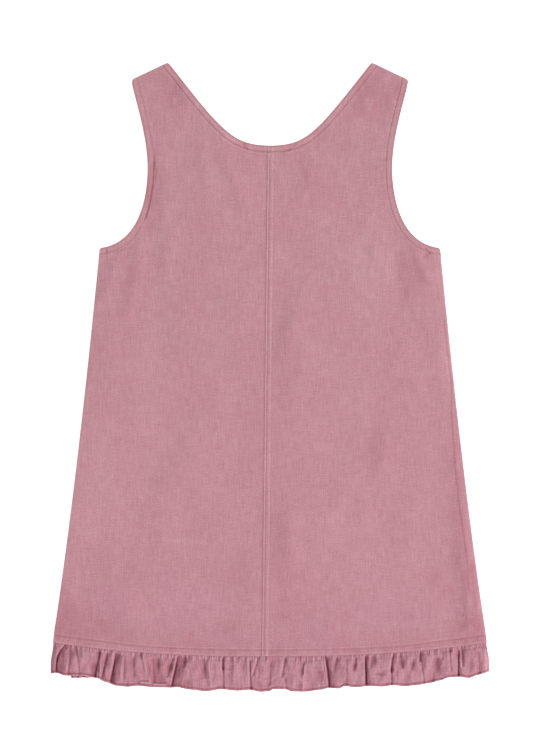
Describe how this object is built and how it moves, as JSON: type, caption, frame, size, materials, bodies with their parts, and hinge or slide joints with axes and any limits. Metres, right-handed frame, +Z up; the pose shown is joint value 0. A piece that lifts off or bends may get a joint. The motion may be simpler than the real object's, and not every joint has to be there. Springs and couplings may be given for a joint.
{
  "type": "pinafore dress",
  "caption": "Child's sleeveless A-line pinafore dress laid flat with its back up: shoulder straps, a lapped centre back seam, topstitched edges and a gathered ruffle along the hem.",
  "frame": {"origin": "on the surface that the dress lies on, under the middle of its box", "axes": "+Y towards the shoulders, +X to the right seen from above, +Z up out of the dress's back"},
  "size_m": [0.4182, 0.6, 0.0077],
  "materials": {
    "cloth": "washed, matt plain weave in dusty rose",
    "thread": "sewing thread in the cloth's own colour"
  },
  "bodies": {
    "root": {"front": "cloth", "back_left": "cloth", "back_right": "cloth", "ruffle_front": "cloth", "ruffle_back": "cloth"}
  },
  "joints": []
}
